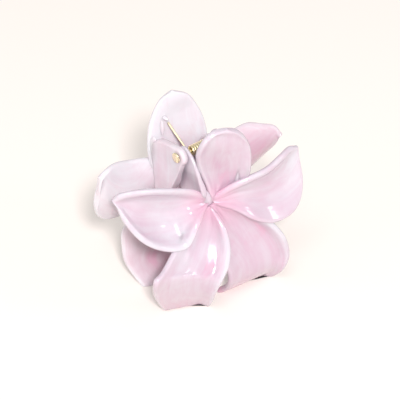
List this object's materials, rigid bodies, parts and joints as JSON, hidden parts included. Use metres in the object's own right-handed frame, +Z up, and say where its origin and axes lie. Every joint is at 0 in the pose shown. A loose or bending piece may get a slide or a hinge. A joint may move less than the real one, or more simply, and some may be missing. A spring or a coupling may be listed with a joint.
{
  "type": "flower hair claw clip",
  "caption": "Spring hair claw clip whose two hinged jaws are each moulded as a cupped flower; the upper petals are the levers and the lower petals curl in as claws.",
  "frame": {"origin": "centre of the footprint on the table plane that the four cut claw feet stand on", "axes": "+X along the hinge pin, -Y towards the front jaw, +Z up through the lever petals"},
  "size_m": [0.069, 0.0414, 0.074],
  "materials": {
    "front_jaw": "glossy marbled pink and white, slightly translucent",
    "back_jaw": "glossy marbled pink and white, slightly translucent",
    "torsion_spring": "gold plated wire",
    "hinge_pin": "gold plated, domed heads"
  },
  "bodies": {
    "front_jaw_body": {"front_jaw": "front_jaw", "hinge_pin": "hinge_pin", "torsion_spring": "torsion_spring"},
    "back_jaw_body": {"back_jaw": "back_jaw"}
  },
  "joints": [
    {"name": "jaw_opening", "type": "hinge", "parent": "front_jaw_body", "child": "back_jaw_body", "pos_m": [0, 0, 0.0585], "axis": [1, 0, 0], "range_deg": [0, 60], "stiffness_Nm_per_rad": 0.052, "springref_deg": -103.13, "deforming": ["torsion_spring"]}
  ]
}
